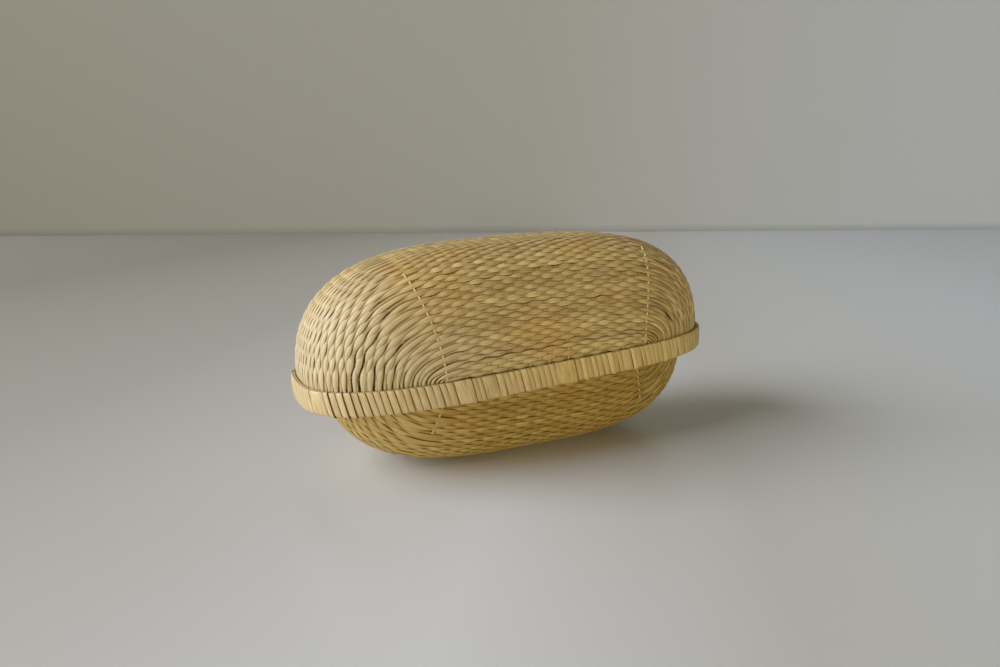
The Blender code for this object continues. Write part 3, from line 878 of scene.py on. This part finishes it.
def finished(nodes, colour, roughness):
    """Fine fibres over the colour and in relief, and the shader's own settings."""
    fine = nodes.noise(nodes.grain_place(FIBRE_SCALES, nodes.fact("tone")), 1.0, FIBRE_DETAIL)
    fibre = nodes.ramp(fine, zip(FIBRE_STOPS, (FIBRE_SHADE, WHITE)))
    nodes.join(nodes.mixed(1.0, colour, fibre, "MULTIPLY"), nodes.shader.inputs["Base Color"])
    bump = nodes.node("ShaderNodeBump")
    bump.inputs["Strength"].default_value = FIBRE_BUMP
    bump.inputs["Distance"].default_value = FIBRE_DEPTH
    nodes.join(fine, bump.inputs["Height"])
    nodes.join(bump.outputs[0], nodes.shader.inputs["Normal"])
    nodes.shader.inputs["Roughness"].default_value = roughness
    nodes.shader.inputs["Specular IOR Level"].default_value = WOOD_SPECULAR
    return nodes.material


def paler(nodes, colour, pale, lit_pale_drift):
    """A colour that turns paler towards the low end of the box: painted light where the window falls on it,
    partly also the straw's own paler tone.
    """
    toward = nodes.drift(LIT_PALE_DIRECTION, *lit_pale_drift)
    return nodes.mixed(nodes.math("MULTIPLY", toward, LIT_PALE_SHARE), colour, pale)


def rod_finish(name, colours, pale, lit_pale_drift):
    """Peeled rods, with painted shade on their sides between them and where they dip under a thread."""
    nodes = Nodes(name)
    # painted light: paler towards the lit low end
    colour = paler(nodes, peeled(nodes, colours, ROD_TONE_SHARE), pale, lit_pale_drift)
    # painted shade on the rods' sides, between neighbours
    side = nodes.ramp(nodes.fact("turn"), zip(ROD_SIDE_STOPS, (ROD_SIDE_PAINTED_SHADE, WHITE)))
    colour = nodes.mixed(1.0, colour, side, "MULTIPLY")
    # painted shade where the rod dips under a thread
    height = nodes.math("ADD", nodes.math("MULTIPLY", nodes.fact("crest"), 0.5), 0.5)
    dip = nodes.ramp(height, zip(ROD_DIP_STOPS, (ROD_DIP_PAINTED_SHADE, WHITE)))
    return finished(nodes, nodes.mixed(1.0, colour, dip, "MULTIPLY"), WOOD_ROUGHNESS)


def thread_finish(name, plain, tied):
    """Twisted thread: as the rods in the weave, and paler in the seams and where it ties the lowest rods."""
    nodes = Nodes(name)
    return finished(nodes, nodes.mixed(nodes.fact("crest"), plain, tied), THREAD_ROUGHNESS)


def splint_finish(name, colours, pale, lit_pale_drift):
    """Flat splint: nearly one tone, with thin lines of painted shade where one turn meets the next, and on
    the top face near the wall.
    """
    nodes = Nodes(name)
    # painted light: paler towards the lit low end
    colour = paler(nodes, peeled(nodes, colours, SPLINT_TONE_SHARE), pale, lit_pale_drift)
    edge = nodes.ramp(nodes.fact("crest"), zip(SPLINT_EDGE_STOPS, (SPLINT_EDGE_PAINTED_SHADE, WHITE)))
    return finished(nodes, nodes.mixed(1.0, colour, edge, "MULTIPLY"), WOOD_ROUGHNESS)


def hoop_wood(name, colour):
    """Bent wood of the hoops, with long grain."""
    nodes = Nodes(name)
    place = nodes.node("ShaderNodeTexCoord").outputs["Object"]
    stretch = nodes.node("ShaderNodeMapping")
    stretch.inputs["Scale"].default_value = HOOP_GRAIN_SCALES
    nodes.join(place, stretch.inputs["Vector"])
    grain = nodes.noise(stretch.outputs[0], 1.0, HOOP_GRAIN_DETAIL)
    darker = tuple(part * HOOP_DARK_SHARE for part in colour)
    nodes.join(nodes.ramp(grain, zip(HOOP_GRAIN_STOPS, (darker, colour))), nodes.shader.inputs["Base Color"])
    nodes.shader.inputs["Roughness"].default_value = WOOD_ROUGHNESS
    return nodes.material


def plain_ground(name, direction, drift, stops, shine, foot_height=0):
    """A pale plain surface whose colour drifts along one direction as painted light, with painted shade below
    a height.

    Its shine is how rough it is and how much it glares.
    """
    nodes = Nodes(name)
    colour = nodes.ramp(nodes.drift(direction, *drift), stops)
    # painted shade at the wall's foot
    if foot_height:
        foot = nodes.ramp(nodes.drift((0, 0, 1), 0, foot_height), zip((0, 1), (WALL_FOOT_PAINTED_SHADE, WHITE)))
        colour = nodes.mixed(1.0, colour, foot, "MULTIPLY")
    nodes.join(colour, nodes.shader.inputs["Base Color"])
    roughness, specular = shine
    nodes.shader.inputs["Roughness"].default_value = roughness
    nodes.shader.inputs["Specular IOR Level"].default_value = specular
    return nodes.material


def flat_sheet(name, corners, finish):
    """A flat sheet of the stage."""
    data = bpy.data.meshes.new(name)
    data.from_pydata(corners, [], [(0, 1, 2, 3)])
    obj = bpy.data.objects.new(name, data)
    bpy.context.scene.collection.objects.link(obj)
    data.materials.append(finish)


def camera_axes():
    """The camera's right, up and back directions."""
    turn, rise = CAMERA_TURN + VIEW_TURN, CAMERA_RISE + VIEW_TILT
    back = Vector((sin(turn) * cos(rise), -cos(turn) * cos(rise), sin(rise)))
    right = Vector((cos(turn), sin(turn), 0))
    return right, back.cross(right), back


def add_camera():
    """The camera, where the photo was taken from."""
    right, up, back = camera_axes()
    placing = Matrix((right, up, back)).transposed().to_4x4()
    turn, rise = CAMERA_TURN, CAMERA_RISE
    placing.translation = CAMERA_DISTANCE * Vector((sin(turn) * cos(rise), -cos(turn) * cos(rise), sin(rise)))
    data = bpy.data.cameras.new("camera")
    data.sensor_width = SENSOR
    data.lens = FOCAL_PIXELS * SENSOR / FRAME_PIXELS[0]
    camera = bpy.data.objects.new("camera", data)
    camera.matrix_world = placing
    bpy.context.scene.collection.objects.link(camera)
    bpy.context.scene.camera = camera


def area_light(name, place, size, power, colour):
    """A soft square lamp that faces the box."""
    data = bpy.data.lights.new(name, "AREA")
    data.shape = "SQUARE"
    data.size = size
    data.energy = power
    data.color = colour
    lamp = bpy.data.objects.new(name, data)
    lamp.location = place
    lamp.rotation_euler = (-Vector(place)).to_track_quat("-Z", "Y").to_euler()
    bpy.context.scene.collection.objects.link(lamp)


def add_light():
    """A cool window on the left, warm soft light from the room in front, and a little from all round."""
    area_light("window", WINDOW_PLACE, WINDOW_SIZE, WINDOW_POWER, WINDOW_COLOUR)
    area_light("room", ROOM_PLACE, ROOM_SIZE, ROOM_POWER, ROOM_COLOUR)
    world = bpy.data.worlds.new("surroundings")
    world.use_nodes = True
    world.node_tree.nodes["Background"].inputs["Color"].default_value = (*ROOM_COLOUR, 1)
    world.node_tree.nodes["Background"].inputs["Strength"].default_value = WORLD_STRENGTH
    bpy.context.scene.world = world


def table_place(eye, pixel):
    """The point of the table that a pixel of the photo's frame shows."""
    right, up, back = camera_axes()
    across = (pixel[0] - FRAME_PIXELS[0] / 2) / FOCAL_PIXELS
    raised = (FRAME_PIXELS[1] / 2 - pixel[1]) / FOCAL_PIXELS
    sight = right * across + up * raised - back
    return eye - sight * (eye.z / sight.z)


def add_stage():
    """The table, and the wall behind it, whose foot lies where the photo shows it."""
    eye = bpy.context.scene.camera.matrix_world.translation
    left, right = (table_place(eye, pixel) for pixel in WALL_FOOT_PIXELS)
    along = (right - left).normalized()
    away = Vector((-along.y, along.x, 0))
    table = plain_ground("table", TABLE_DIRECTION, TABLE_DRIFT, TABLE_STOPS, TABLE_SHINE)
    wall = plain_ground("wall", along, WALL_DRIFT, WALL_STOPS, WALL_SHINE, WALL_FOOT_HEIGHT)
    reach, near = STAGE_REACH * along, STAGE_REACH * away
    foot = (left + right) / 2
    flat_sheet("table", [foot - reach - near, foot + reach - near, foot + reach, foot - reach], table)
    top = Vector((0, 0, WALL_HEIGHT))
    flat_sheet("wall", [foot - reach, foot + reach, foot + reach + top, foot - reach + top], wall)


def shell_placing(height, lean, flip):
    """The frame of one shell in the frame of the box."""
    turned = Matrix.Rotation(lean, 4, "Y") @ Matrix.Rotation(flip, 4, "X")
    return Matrix.Translation((0, 0, height)) @ turned


def dress(prefix, body, shell, faces, finishes, chance):
    """All the woven and wound pieces of one shell."""
    paths = rod_paths(shell, chance)
    rod_strands, lines = rods(shell, paths, chance)
    fine, seams = threads(shell, lines, chance)
    weave, thread, splint = (f"{prefix}_{slot}" for slot in ("weave", "thread", "splint"))
    rod_strands.made(f"{prefix}_rods", shell, finishes["rod"], weave, body, [f"{prefix}_wall"])
    fine.made(f"{prefix}_threads", shell, finishes["thread"], thread, body, [])
    corners = [f"{prefix}_seam_thread_{corner}" for corner in CORNERS]
    seams.made(f"{prefix}_seams", shell, finishes["thread"], thread, body, corners)
    splints = [f"{prefix}_rim_splint_{number + 1}" for number in range(SPLINTS)]
    wraps(shell, faces, chance).made(f"{prefix}_wraps", shell, finishes["splint"], splint, body, splints)
    for name in (f"{prefix}_outer_hoop", f"{prefix}_inner_hoop"):
        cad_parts[name].data.materials.clear()
        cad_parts[name].data.materials.append(finishes["hoop"])


def shell_finishes(prefix, rod, thread, splint, hoop, lit_pale_drift):
    """The finishes of one shell's rods, threads, splints and hoops."""
    return {
        "rod": rod_finish(f"{prefix} straw", *rod, lit_pale_drift),
        "thread": thread_finish(f"{prefix} thread", *thread),
        "splint": splint_finish(f"{prefix} splint", *splint, lit_pale_drift),
        "hoop": hoop_wood(f"{prefix} hoop wood", hoop),
    }


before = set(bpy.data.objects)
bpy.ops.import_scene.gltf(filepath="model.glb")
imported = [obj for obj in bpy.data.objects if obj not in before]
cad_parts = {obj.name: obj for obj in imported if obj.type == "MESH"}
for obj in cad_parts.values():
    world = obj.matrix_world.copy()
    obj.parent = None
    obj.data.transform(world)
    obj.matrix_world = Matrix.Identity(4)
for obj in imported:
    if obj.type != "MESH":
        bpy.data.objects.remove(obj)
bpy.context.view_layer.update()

chance = np.random.default_rng(SEED)
lid = Shell(
    LID_HALF_LENGTH, LID_HALF_WIDTH, LID_BAND, LID_DOME, LID_POWERS, 0, LID_BAND, LID_BAND + LID_DOME,
    shell_placing(LID_SEAT, LID_LEAN, 0),
)
base = Shell(
    BASE_HALF_LENGTH, BASE_HALF_WIDTH, BASE_SKIRT, BASE_DOME, BASE_POWERS, BASE_TAPER, BASE_BAND, BASE_DEPTH,
    shell_placing(BASE_DEPTH, 0, pi),
)
lid_finishes = shell_finishes(
    "lid", (LID_ROD_COLOURS, LID_ROD_PALE), LID_THREAD_COLOURS, (LID_SPLINT_COLOURS, LID_SPLINT_PALE),
    LID_HOOP_COLOUR, LID_LIT_PALE_DRIFT,
)
base_finishes = shell_finishes(
    "base", (BASE_ROD_COLOURS, BASE_ROD_PALE), BASE_THREAD_COLOURS, (BASE_SPLINT_COLOURS, BASE_SPLINT_PALE),
    BASE_HOOP_COLOUR, BASE_LIT_PALE_DRIFT,
)
dress("lid", "lid", lid, LID_RIM_FACES, lid_finishes, chance)
dress("base", "base", base, BASE_RIM_FACES, base_finishes, chance)

add_camera()
add_light()
add_stage()
bpy.context.scene.view_settings.view_transform = "Standard"
